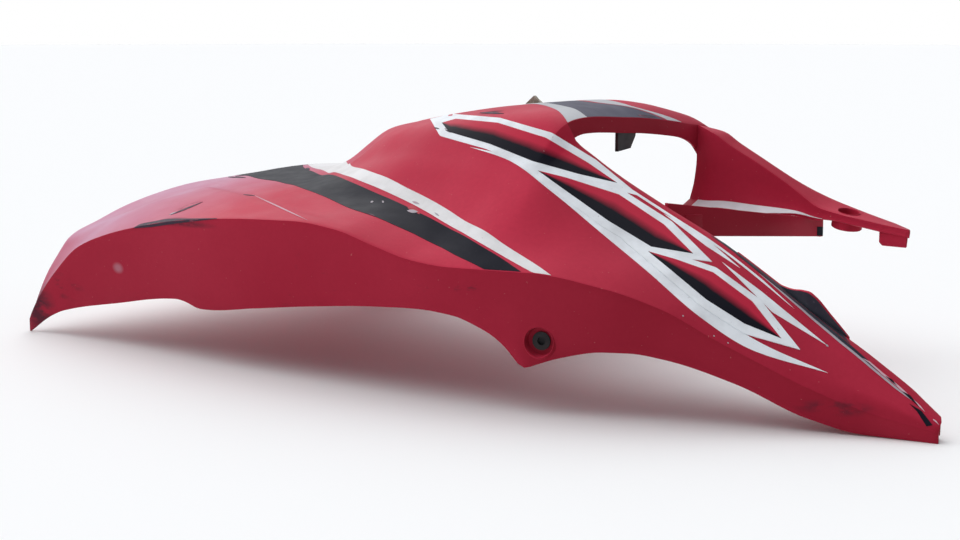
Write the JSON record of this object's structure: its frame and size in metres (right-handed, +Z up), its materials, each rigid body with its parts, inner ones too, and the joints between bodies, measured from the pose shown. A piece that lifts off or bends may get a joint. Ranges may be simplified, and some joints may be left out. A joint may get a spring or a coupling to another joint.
{
  "type": "motorbike front fairing panel",
  "caption": "Red moulded front fairing panel with an open wing end, a hooded band, a window, a rear arm with a fixing boss and a long pointed beak.",
  "frame": {"origin": "middle of the bounding box, on the floor that the panel lies on", "axes": "+X from the open wing end to the tip of the beak, +Y across to the arm's side, +Z up"},
  "size_m": [0.8662, 0.508, 0.2336],
  "materials": {
    "red_moulded_plastic": "worn gloss with scuffs and printed stripes",
    "black_bracket_plastic": "plain moulded",
    "dull_steel": "weathered",
    "black_rubber": "matte"
  },
  "bodies": {
    "root": {"fairing_shell": "red_moulded_plastic", "window_clip": "black_bracket_plastic", "hood_lug": "dull_steel", "tab_grommet": "black_rubber"}
  },
  "joints": []
}
